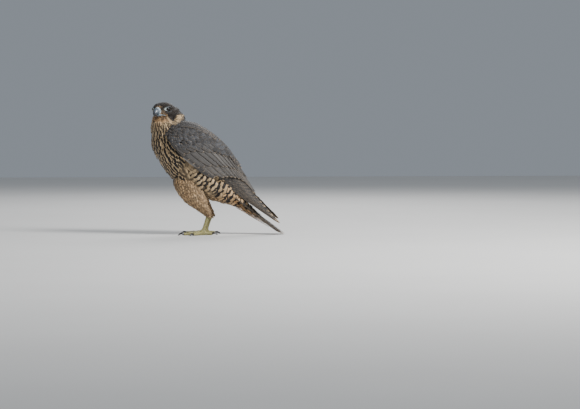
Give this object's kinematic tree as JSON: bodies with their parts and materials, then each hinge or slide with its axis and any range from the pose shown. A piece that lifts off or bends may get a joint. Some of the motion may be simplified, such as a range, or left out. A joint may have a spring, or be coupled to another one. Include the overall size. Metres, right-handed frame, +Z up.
{
  "type": "peregrine falcon model",
  "caption": "Life-size juvenile falcon standing on level ground, wings folded, head turned over its shoulder.",
  "frame": {"origin": "on the ground under the middle of the whole bird's box", "axes": "+X forward along the bird's line, +Y to the bird's left, +Z up"},
  "size_m": [0.2934, 0.118, 0.2896],
  "materials": {
    "plumage_head": "soft short feathers, brown-black with pale cheeks",
    "plumage_front": "soft buff feathers with heavy dark brown streaks",
    "plumage_back": "slate-brown feathers with pale buff edges",
    "cere": "smooth pale blue-grey skin",
    "horn": "blue-grey horn, dark at the tip",
    "eye": "wet, near-black brown",
    "leg_skin": "scaled dull yellow skin",
    "claw": "polished black horn"
  },
  "bodies": {
    "root": {"head": "plumage_head", "neck": "plumage_front", "torso": "plumage_front", "thigh_left": "plumage_front", "thigh_right": "plumage_front", "wing_left": "plumage_back", "wing_right": "plumage_back", "tail": "plumage_back", "cere": "cere", "bill_upper": "horn", "bill_lower": "horn", "eye_left": "eye", "eye_right": "eye", "tarsus_left": "leg_skin", "foot_left": "leg_skin", "tarsus_right": "leg_skin", "foot_right": "leg_skin", "talon_middle_left": "claw", "talon_inner_left": "claw", "talon_outer_left": "claw", "talon_hind_left": "claw", "talon_middle_right": "claw", "talon_inner_right": "claw", "talon_outer_right": "claw", "talon_hind_right": "claw"}
  },
  "joints": []
}
